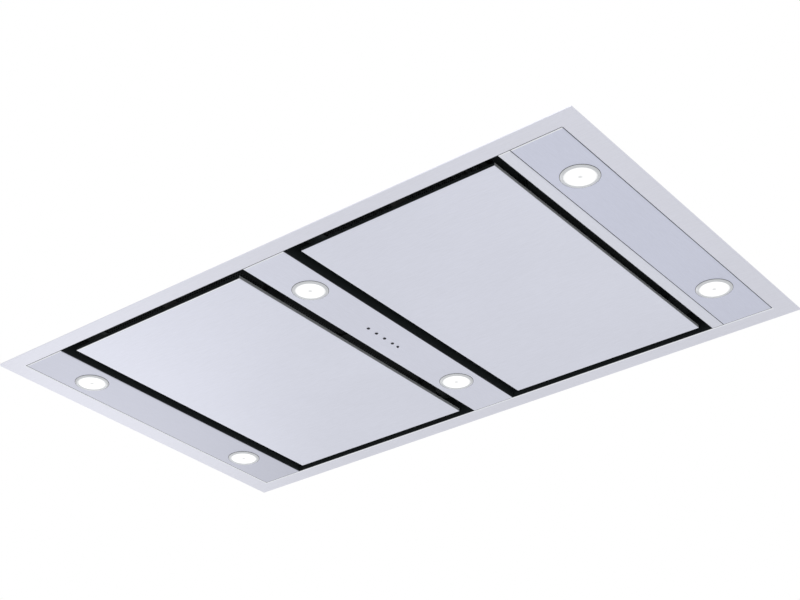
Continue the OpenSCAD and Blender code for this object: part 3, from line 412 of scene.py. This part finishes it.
press = add(tree, "ShaderNodeBump", {"Height": fold.outputs[0], "Strength": 1.0, "Distance": crease_h,
                                     "Normal": tree.nodes["Bump"].outputs[0]})
tree.links.new(press.outputs[0], tree.nodes["Principled BSDF"].inputs["Normal"])
dress(box_zinc, "blower_box")

# Filter rims and meshes. Aluminium: the rims are drawn black, painted shade that keeps the slots dark, and
# the mesh is bright expanded foil, its strands 3.2 mm apart, folded in pleats. Its border is drawn dark,
# painted shade that keeps the slots dark.
rim_metal = brushed_steel("aluminium_rim_painted_shade", "#23282A", 0.42, along=(0.05, 1, 1), tone=0.10)
dress(rim_metal, *[f"filter_rim_{i}" for i in range(1, 5)])
border, soft, strand_gap, strand_lean = 38 * MM, 5 * MM, 3.2 * MM, 33
wave_period = 0.314
for side in ("left", "right"):
    mesh_low, mesh_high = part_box("filter_meshes_" + side)
    middle, half = (mesh_low + mesh_high) / 2, (mesh_high - mesh_low) / 2
    foil, tree, shader = finish_of("aluminium_expanded_foil_" + side, Metallic=0.9, Roughness=0.42)
    place = add(tree, "ShaderNodeTexCoord")
    waves = []
    for lean in (-strand_lean, strand_lean):
        turned = add(tree, "ShaderNodeMapping", {"Vector": place.outputs["Object"],
                                                 "Rotation": (0, 0, math.radians(lean))})
        waves.append(add(tree, "ShaderNodeTexWave", {"Vector": turned.outputs[0],
                                                     "Scale": wave_period / strand_gap}))
    strand = add(tree, "ShaderNodeMath", {0: waves[0].outputs[1], 1: waves[1].outputs[1]},
                 operation="MAXIMUM")
    edge = add(tree, "ShaderNodeMapRange", {"Value": strand.outputs[0], "From Min": 0.55, "From Max": 0.8})
    bright, black = [add(tree, "ShaderNodeMix", {0: edge.outputs[0], 6: linear(gap), 7: linear(metal)},
                         data_type="RGBA") for gap, metal in (("#34383A", "#C6C9CB"), ("#1E2122", "#4A4E50"))]
    # Painted shade: the border of the mesh takes the darker pair of colours.
    axes = add(tree, "ShaderNodeSeparateXYZ", {0: place.outputs["Object"]})
    inside = []
    for i, axis in enumerate("XY"):
        off = add(tree, "ShaderNodeMath", {0: axes.outputs[axis], 1: middle[i]}, operation="SUBTRACT")
        out = add(tree, "ShaderNodeMath", {0: off.outputs[0]}, operation="ABSOLUTE")
        rest = half[i] - border
        inside.append(add(tree, "ShaderNodeMapRange", {"Value": out.outputs[0], "From Min": rest - soft,
                                                       "From Max": rest, "To Min": 1.0, "To Max": 0.0}))
    bare = add(tree, "ShaderNodeMath", {0: inside[0].outputs[0], 1: inside[1].outputs[0]},
               operation="MULTIPLY")
    tint = add(tree, "ShaderNodeMix", {0: bare.outputs[0], 6: black.outputs[2], 7: bright.outputs[2]},
               data_type="RGBA")
    tree.links.new(tint.outputs[2], shader.inputs["Base Color"])
    bump = add(tree, "ShaderNodeBump", {"Height": edge.outputs[0], "Strength": 0.6, "Distance": 0.3 * MM})
    tree.links.new(bump.outputs[0], shader.inputs["Normal"])
    dress(foil, "filter_meshes_" + side)

# Lamps. Satin nickel rings, frosted glass lenses lit from behind, with a faint grey spot over the
# diode and a softer light towards the rim, and extruded aluminium sinks.
ring_metal = brushed_steel("satin_nickel_ring", "#DADCDF", 0.3, tone=0.05)
dress(ring_metal, *[f"lamp_ring_{i}" for i in range(1, 7)])
sink_metal = brushed_steel("aluminium_heat_sink", "#B4B7BA", 0.45, along=(1, 1, 0.05), tone=0.05)
dress(sink_metal, "lamp_modules")

lens_r, lamp_level = 25.4 * MM, 1.1
spot_r, spot_fade_r, spot_level = 1.5 * MM, 8 * MM, 0.46
rim_start_r, rim_level = 17 * MM, 0.58
lens_low, lens_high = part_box("lamp_lenses")
step_x = (lens_high.x - lens_low.x) / 2 - lens_r
step_y = (lens_high.y - lens_low.y) / 2 - lens_r
frost, tree, shader = finish_of("frosted_glass_lit", Base_Color=linear("#8C8E90"), Roughness=0.4,
                                Emission_Strength=lamp_level)
place = add(tree, "ShaderNodeTexCoord")
axes = add(tree, "ShaderNodeSeparateXYZ", {0: place.outputs["Object"]})
turns = add(tree, "ShaderNodeMath", {0: axes.outputs["X"], 1: step_x}, operation="DIVIDE")
whole = add(tree, "ShaderNodeMath", {0: turns.outputs[0]}, operation="ROUND")
off = add(tree, "ShaderNodeMath", {0: whole.outputs[0], 1: -step_x, 2: axes.outputs["X"]},
          operation="MULTIPLY_ADD")
far = add(tree, "ShaderNodeMath", {0: axes.outputs["Y"]}, operation="ABSOLUTE")
away = add(tree, "ShaderNodeMath", {0: far.outputs[0], 1: step_y}, operation="SUBTRACT")
spot = add(tree, "ShaderNodeCombineXYZ", {"X": off.outputs[0], "Y": away.outputs[0]})
distance = add(tree, "ShaderNodeVectorMath", {0: spot.outputs[0]}, operation="LENGTH")
lit = add(tree, "ShaderNodeMapRange", {"Value": distance.outputs["Value"], "From Min": spot_r,
                                       "From Max": spot_fade_r, "To Min": spot_level, "To Max": 1.0})
fade = add(tree, "ShaderNodeMapRange", {"Value": distance.outputs["Value"], "From Min": rim_start_r,
                                        "From Max": lens_r, "To Min": 1.0, "To Max": rim_level},
           interpolation_type="SMOOTHSTEP")
shown = add(tree, "ShaderNodeMath", {0: lit.outputs[0], 1: fade.outputs[0]}, operation="MULTIPLY")
glow = add(tree, "ShaderNodeCombineColor", {0: shown.outputs[0], 1: shown.outputs[0], 2: shown.outputs[0]})
tree.links.new(glow.outputs[0], shader.inputs["Emission Color"])
dress(frost, "lamp_lenses")

# Controls. Polished ABS caps and a dark receiver window, clipped into the centre strip. A faint haze
# 0.9 mm wide breaks their black.
gloss = two_tone("abs_polished_black", "#1C1C24", "#24242D", 0.9 * MM, 2.0,
                 Roughness=0.3, IOR=1.5, Specular_IOR_Level=0.2)[0]
dress(gloss, "remote_receiver", *[f"push_button_{i}" for i in range(1, 5)])


# Moulded pieces of ABS, polyamide and polycarbonate, and the enamel of the motor and lacquer of the
# board. The moulds' spark-eroded grain is drawn 0.5 mm wide, coarser than the real one, and dulls the
# gloss. The coats' ripples are 1.4 and 2 mm wide.
def moulded(name, low, high, roughness, grain=0.5 * MM):
    """Plastic or enamel with a fine even grain."""
    rough_swing, grain_depth = 0.08, 0.04 * MM
    material, tree, shader, sparks = two_tone(name, low, high, grain, 4.0, IOR=1.5)
    rough = add(tree, "ShaderNodeMapRange", {"Value": sparks.outputs[0], "To Min": roughness - rough_swing,
                                             "To Max": roughness + rough_swing})
    tree.links.new(rough.outputs[0], shader.inputs["Roughness"])
    bump = add(tree, "ShaderNodeBump", {"Height": sparks.outputs[0], "Strength": 0.35,
                                        "Distance": grain_depth})
    tree.links.new(bump.outputs[0], shader.inputs["Normal"])
    return material


dress(moulded("abs_moulded_black", "#1A1B1D", "#242628", 0.5), "button_housing", "terminal_box",
      "cable_gland", "catch_magnets", "flap_left", "flap_right",
      *[f"filter_latch_{i}" for i in range(1, 5)])
dress(moulded("polyamide_impeller", "#202225", "#2C2F32", 0.42), "impeller")
driver_case = moulded("polycarbonate_driver_case", "#C9CBCB", "#DADCDC", 0.45)
dress(driver_case, "lamp_driver")
dress(moulded("motor_enamel_black", "#141516", "#1D1F21", 0.35, 1.4 * MM), "fan_motor")
dress(moulded("solder_resist_green", "#0E3B24", "#155534", 0.3, 2.0 * MM), "control_board")

# Shaft and pins. Turned steel, plated with zinc. Turning leaves fine lines, drawn 0.6 mm wide like
# those of the brushed sheet.
plated = brushed_steel("zinc_plated_steel", "#C4C7CA", 0.28, along=(1, 1, 0.2), tone=0.05)
dress(plated, "fan_shaft", "flap_pins", "hinge_pins")

# Casing screws. Zinc-plated M4 pan heads with a cross recess; they hold the hanger brackets, the
# blower box's feet and the collar's ring. One head is shaped from a grid and copied to each place.
screw_r, head_r, head_h, screw_l = 2 * MM, 4 * MM, 2.4 * MM, 6 * MM
deck_z, deck_sheet, bracket_sheet, ring_sheet = -40 * MM, 1.2 * MM, 2.5 * MM, 2 * MM
hanger_x, hanger_y, bracket_w = 1000 * MM, 520 * MM, 50 * MM
foot_screw_gap, collar_screw_r = 0.33 * box_l, 80.5 * MM
collar_low, collar_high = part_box("duct_collar")
collar_z = (collar_low.z + collar_high.z) / 2


def verts_in(parts):
    """The vertices among the parts that a bmesh operator gives back."""
    return [part for part in parts if isinstance(part, bmesh.types.BMVert)]


def open_edges(shape):
    """The edges round a shape's openings."""
    return [edge for edge in shape.edges if edge.is_boundary]


def pan_screw():
    """A pan head screw that stands on z = 0, head up. Shares are of the head's radius and height."""
    cross_half_w, cross_half_l, cross_taper, cross_floor = 1 / 6, 1 / 2, 0.8, 0.3
    rim_share, point_share = 0.35, 0.8
    screw = bmesh.new()
    bmesh.ops.create_grid(screw, x_segments=12, y_segments=12, size=1)
    recess = []
    for face in screw.faces:
        least, most = sorted(abs(value) for value in face.calc_center_median()[:2])
        if least < cross_half_w and most < cross_half_l:
            recess.append(face)
    for vert in screw.verts:
        x, y = vert.co.x, vert.co.y
        vert.co.x = x * math.sqrt(1 - y * y / 2) * head_r
        vert.co.y = y * math.sqrt(1 - x * x / 2) * head_r
        out = min(1, vert.co.xy.length / head_r)
        vert.co.z = head_h * (rim_share + (1 - rim_share) * math.sqrt(max(0, 1 - out ** 3)))
    sunk = bmesh.ops.extrude_face_region(screw, geom=recess)["geom"]
    bmesh.ops.delete(screw, geom=recess, context="FACES_ONLY")
    for vert in verts_in(sunk):
        vert.co = Vector((vert.co.x * cross_taper, vert.co.y * cross_taper, head_h * cross_floor))
    wall = bmesh.ops.extrude_edge_only(screw, edges=open_edges(screw))["geom"]
    for vert in verts_in(wall):
        vert.co.z = 0
    bmesh.ops.contextual_create(screw, geom=open_edges(screw))
    bmesh.ops.create_cone(screw, cap_ends=True, segments=16, radius1=screw_r * point_share, radius2=screw_r,
                          depth=screw_l, matrix=Matrix.Translation((0, 0, -screw_l / 2)))
    bmesh.ops.recalc_face_normals(screw, faces=screw.faces)
    return as_mesh("pan_screw", screw)


def spread(name, unit, places, material, body):
    """Joins copies of a small mesh, one at each place, into one piece that rides on a body."""
    whole = bmesh.new()
    for place in places:
        start = len(whole.verts)
        whole.from_mesh(unit)
        whole.verts.ensure_lookup_table()
        bmesh.ops.transform(whole, matrix=place, verts=whole.verts[start:])
    piece = put(name, whole, material)
    piece.data.shade_smooth()
    piece.data.set_sharp_from_angle(angle=math.radians(35))
    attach(piece, body)
    return piece


pan_head = pan_screw()
places = []
for sx in (-1, 1):
    for sy in (-1, 1):
        for step in (-1, 1):
            places.append(Matrix.Translation((sx * hanger_x / 2 + step * bracket_w / 4, sy * hanger_y / 2,
                                              deck_z + bracket_sheet)))
for side in (-1, 1):
    for step in (-1, 0, 1):
        places.append(Matrix.Translation((step * foot_screw_gap, side * (box_d + foot_w) / 2,
                                          deck_z + deck_sheet)))
for i in range(4):
    turn = math.radians(45 + 90 * i)
    places.append(Matrix.Translation((collar_screw_r * math.sin(turn), box_d / 2 + ring_sheet,
                                      collar_z + collar_screw_r * math.cos(turn)))
                  @ Matrix.Rotation(math.radians(-90), 4, "X"))
screws = spread("pan_head_screws", pan_head, places, plated, "casing")
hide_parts("casing_screws")

# Casing rivets. Aluminium blind rivets, 6.4 mm across the head with the drawn mandrel in its middle.
# They join the walls at the corners, the deck to the walls' folds, and the blower box's ends.
mill = brushed_steel("aluminium_rivet", "#B9BCC0", 0.4, tone=0.06)
shape = bmesh.new()
profile = [shape.verts.new((r * MM, 0, z * MM))
           for r, z in ((0.9, 0.75), (1.2, 1.35), (2.0, 1.2), (2.9, 0.6), (3.2, 0.1), (3.2, 0))]
edges = [shape.edges.new(pair) for pair in zip(profile, profile[1:])]
bmesh.ops.spin(shape, geom=profile + edges, cent=(0, 0, 0), axis=(0, 0, 1), angle=math.tau, steps=12,
               use_merge=True)
bmesh.ops.remove_doubles(shape, verts=shape.verts, dist=0.01 * MM)
for in_middle in (True, False):
    rim = [edge for edge in open_edges(shape) if (edge.verts[0].co.xy.length < 2 * MM) == in_middle]
    bmesh.ops.contextual_create(shape, geom=rim)
bmesh.ops.recalc_face_normals(shape, faces=shape.faces)
rivet = as_mesh("blind_rivet", shape)

trim, fold_w, from_corner = 1 * MM, 14 * MM, 10 * MM
wall_rows, box_rows = (-128 * MM, -92 * MM, -56 * MM), (-20 * MM, 60 * MM, 140 * MM)
side_gap, end_gap = 108 * MM, 130 * MM
places = []
for sx in (-1, 1):
    for sy in (-1, 1):
        for z in wall_rows:
            places.append(Matrix.Translation((sx * (shell_x - from_corner), sy * shell_y, z))
                          @ Matrix.Rotation(math.radians(-90 * sy), 4, "X"))
        for z in box_rows:
            places.append(Matrix.Translation((sx * (box_l / 2 + trim), sy * (box_d / 2 - from_corner), z))
                          @ Matrix.Rotation(math.radians(90 * sx), 4, "Y"))
            places.append(Matrix.Translation((sx * (box_l / 2 - from_corner), sy * (box_d / 2 + trim), z))
                          @ Matrix.Rotation(math.radians(-90 * sy), 4, "X"))
for side in (-1, 1):
    for i in range(11):
        places.append(Matrix.Translation(((i - 5) * side_gap, side * (shell_y - fold_w / 2), deck_z + trim)))
    for i in range(5):
        places.append(Matrix.Translation((side * (shell_x - fold_w / 2), (i - 2) * end_gap, deck_z + trim)))
spread("casing_rivets", rivet, places, mill, "casing")


# Edge folds and corner angles. Bands of the same zinc sheet, 1 mm thick: one is folded over the deck's
# edge all round, and an angle covers each upright corner of the blower box. Rivets hold them.
def zinc_trim(name, shape, places):
    """Finishes a bmesh of zinc trim as a unit and puts a copy of it at each place."""
    bmesh.ops.recalc_face_normals(shape, faces=shape.faces)
    return spread(name, as_mesh(name + "_unit", shape), places, zinc, "casing")


shape = bmesh.new()
bmesh.ops.create_grid(shape, x_segments=1, y_segments=1, size=0.5,
                      matrix=Matrix.Diagonal((2 * shell_x, 2 * shell_y, 1, 1)))
middle = shape.faces[:]
bmesh.ops.inset_region(shape, faces=middle, thickness=fold_w, use_boundary=True, use_even_offset=True)
bmesh.ops.delete(shape, geom=middle, context="FACES")
raised = bmesh.ops.extrude_face_region(shape, geom=shape.faces[:], use_keep_orig=True)["geom"]
bmesh.ops.translate(shape, vec=(0, 0, trim), verts=verts_in(raised))
zinc_trim("deck_edge_folds", shape, [Matrix.Translation((0, 0, deck_z))])

angle_w, below_lid = 20 * MM, 0.5 * MM
foot_z, head_z = deck_z + 2 * deck_sheet, box_high.z - below_lid
shape = bmesh.new()
outline = [shape.verts.new((x, y, foot_z)) for x, y in ((trim, trim), (-angle_w, trim), (-angle_w, 0), (0, 0),
                                                        (0, -angle_w), (trim, -angle_w))]
raised = bmesh.ops.extrude_face_region(shape, geom=[shape.faces.new(outline)], use_keep_orig=True)["geom"]
bmesh.ops.translate(shape, vec=(0, 0, head_z - foot_z), verts=verts_in(raised))
corners = ((1, 1, 0), (-1, 1, 90), (-1, -1, 180), (1, -1, 270))
zinc_trim("box_corner_angles", shape, [Matrix.Translation((sx * box_l / 2, sy * box_d / 2, 0))
                                       @ Matrix.Rotation(math.radians(turn), 4, "Z")
                                       for sx, sy, turn in corners])

# Pressed beads. Long ridges 18 mm wide and 3 mm high, rolled into the deck, the walls and the blower
# box to stiffen the sheet. One ridge is half of a drawn-out ball, stretched to each length.
bead_w, bead_h, bead_l = 18 * MM, 3 * MM, 300 * MM
shape = bmesh.new()
bmesh.ops.create_uvsphere(shape, u_segments=16, v_segments=9, radius=bead_w / 2,
                          matrix=Matrix.Rotation(math.radians(90), 4, "X"))
bmesh.ops.delete(shape, geom=[vert for vert in shape.verts if vert.co.z < -0.01 * MM], context="VERTS")
for vert in shape.verts:
    vert.co.y += math.copysign((bead_l - bead_w) / 2, vert.co.y)
    vert.co.z *= bead_h / (bead_w / 2)
bmesh.ops.contextual_create(shape, geom=open_edges(shape))
bmesh.ops.recalc_face_normals(shape, faces=shape.faces)
bead = as_mesh("bead", shape)


def stretched(length):
    """Draws the ridge out to a length."""
    return Matrix.Diagonal((1, length / bead_l, 1, 1))


# Each row of beads gives a ridge's middle, its tilt about X, its turn about Z and its length.
wall_bead_z, box_bead_rows = -91 * MM, (25 * MM, 95 * MM)
beads = [(x, 0, deck_z, 0, 0, 440 * MM) for x in (-430 * MM, 290 * MM, 360 * MM, 430 * MM)]
beads += [(0, y, deck_z, 0, 90, 420 * MM) for y in (-245 * MM, 255 * MM)]
beads += [(-320 * MM, -200 * MM, deck_z, 0, 90, 130 * MM)]
beads += [(0, side * shell_y, wall_bead_z, -90 * side, 90, 960 * MM) for side in (-1, 1)]
beads += [(0, -box_d / 2, z, 90, 90, 340 * MM) for z in box_bead_rows]
beads += [(side * 155 * MM, box_d / 2, 60 * MM, -90, 0, 130 * MM) for side in (-1, 1)]
places = [Matrix.Translation((x, y, z)) @ Matrix.Rotation(math.radians(tilt), 4, "X")
          @ Matrix.Rotation(math.radians(turn), 4, "Z") @ stretched(length)
          for x, y, z, tilt, turn, length in beads]
end_beads = [(shell_x, wall_bead_z, 460 * MM)] + [(box_l / 2, z, 240 * MM) for z in box_bead_rows]
for side in (-1, 1):
    for x, z, length in end_beads:
        places.append(Matrix.Translation((side * x, 0, z)) @ Matrix.Rotation(math.radians(90 * side), 4, "Y")
                      @ stretched(length))
spread("pressed_beads", bead, places, zinc, "casing")

# Collar beads. Two rings rolled into the duct collar, 2 mm proud, that a clamp on the duct grips
# behind. They are of the collar's own zinc sheet.
collar_r, ring_r, ring_sides = 75 * MM, 2 * MM, 8
shape = bmesh.new()
for from_mouth in (8 * MM, 20 * MM):
    y = collar_high.y - from_mouth
    ring = bmesh.ops.create_circle(shape, segments=ring_sides, radius=ring_r)["verts"]
    bmesh.ops.rotate(shape, verts=ring, matrix=Matrix.Rotation(math.pi / ring_sides, 3, "Z"))
    bmesh.ops.translate(shape, vec=(collar_r, y, collar_z), verts=ring)
    edges = list({edge for vert in ring for edge in vert.link_edges})
    bmesh.ops.spin(shape, geom=ring + edges, cent=(0, y, collar_z), axis=(0, 1, 0), angle=math.tau, steps=64,
                   use_merge=True)
bmesh.ops.remove_doubles(shape, verts=shape.verts, dist=0.01 * MM)
zinc_trim("collar_beads", shape, [Matrix.Identity(4)])

# Cover screws. Six more of the zinc-plated pan heads: four smaller ones hold the terminal box's lid,
# sunk a little into it, and two the lamp driver's feet.
screw_inset, sunk_by, lid_screw_size = 7 * MM, 0.3 * MM, 0.8
driver_low, driver_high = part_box("lamp_driver")
terminal_low, terminal_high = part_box("terminal_box")
middle = (driver_low + driver_high) / 2
places = [Matrix.Translation((x, y, terminal_high.z - sunk_by)) @ Matrix.Scale(lid_screw_size, 4)
          for x in (terminal_low.x + screw_inset, terminal_high.x - screw_inset)
          for y in (terminal_low.y + screw_inset, terminal_high.y - screw_inset)]
places += [Matrix.Translation((middle.x, middle.y + side * ((driver_high.y - driver_low.y) / 2 - screw_inset),
                               deck_z + 2 * deck_sheet)) for side in (-1, 1)]
spread("cover_screws", pan_head, places, plated, "casing")

# Lamp gaskets. A thin ring of dark grey nitrile rubber shows round each lamp ring, where it seats on the
# strip; its dark stands in for the shadow in that seam, painted shadow. Its dust grain is drawn 0.6 mm wide,
# coarser than the real one.
seat_r, gasket_w, gasket_h, gasket_slope = 30 * MM, 0.7 * MM, 0.25 * MM, 0.8
rubber, tree, shader, dust = two_tone("nitrile_rubber_seam_shadow", "#2A2B2D", "#3A3C3E", 0.6 * MM, 3.0,
                                      Roughness=0.8, IOR=1.52)
bump = add(tree, "ShaderNodeBump", {"Height": dust.outputs[0], "Strength": 0.3, "Distance": 0.03 * MM})
tree.links.new(bump.outputs[0], shader.inputs["Normal"])
shape = bmesh.new()
section = [shape.verts.new((x, 0, z)) for x, z in (
    (seat_r, 0), (seat_r + gasket_w, 0), (seat_r + gasket_w * gasket_slope, -gasket_h), (seat_r, -gasket_h))]
edges = [shape.edges.new(pair) for pair in zip(section, section[1:] + section[:1])]
bmesh.ops.spin(shape, geom=section + edges, cent=(0, 0, 0), axis=(0, 0, 1), angle=math.tau, steps=72,
               use_merge=True)
bmesh.ops.remove_doubles(shape, verts=shape.verts, dist=0.001 * MM)
bmesh.ops.recalc_face_normals(shape, faces=shape.faces)
gasket = as_mesh("lamp_gasket", shape)
places = []
for i in range(1, 7):
    ring_low, ring_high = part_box(f"lamp_ring_{i}")
    centre = (ring_low + ring_high) / 2
    places.append(Matrix.Translation((centre.x, centre.y, flange_low.z)))
# The dark rings are painted shadow of the seam round each lamp ring.
spread("lamp_gaskets_seam_shadow", gasket, places, rubber, "casing")

# Panel beads. Two ridges rolled along the sheet behind each panel, in the same black coat. They swing
# with it.
panel_bead_l, bead_step, fold_drop = 440 * MM, 90 * MM, 0.5 * MM
for side in ("left", "right"):
    back_low, back_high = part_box("panel_back_" + side)
    middle = (back_low + back_high) / 2
    sheet_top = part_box("panel_" + side)[1].z - fold_drop
    places = [Matrix.Translation((middle.x + step * bead_step, 0, sheet_top)) @ stretched(panel_bead_l)
              for step in (-1, 1)]
    spread(f"panel_beads_{side}", bead, places, black_coat, "panel_" + side)

# Driver ribs. Six low ribs, moulded across the lamp driver's polycarbonate lid in one with it, help
# it to shed its heat. Each is the bead's shape, made smaller.
rib_count, rib_gap, rib_l, rib_w_share, rib_h_share = 6, 20 * MM, 44 * MM, 0.3, 0.4
middle = (driver_low + driver_high) / 2
places = [Matrix.Translation((middle.x, middle.y + (i - (rib_count - 1) / 2) * rib_gap, driver_high.z))
          @ Matrix.Rotation(math.radians(90), 4, "Z")
          @ Matrix.Diagonal((rib_w_share, rib_l / bead_l, rib_h_share, 1)) for i in range(rib_count)]
spread("driver_ribs", bead, places, driver_case, "casing")
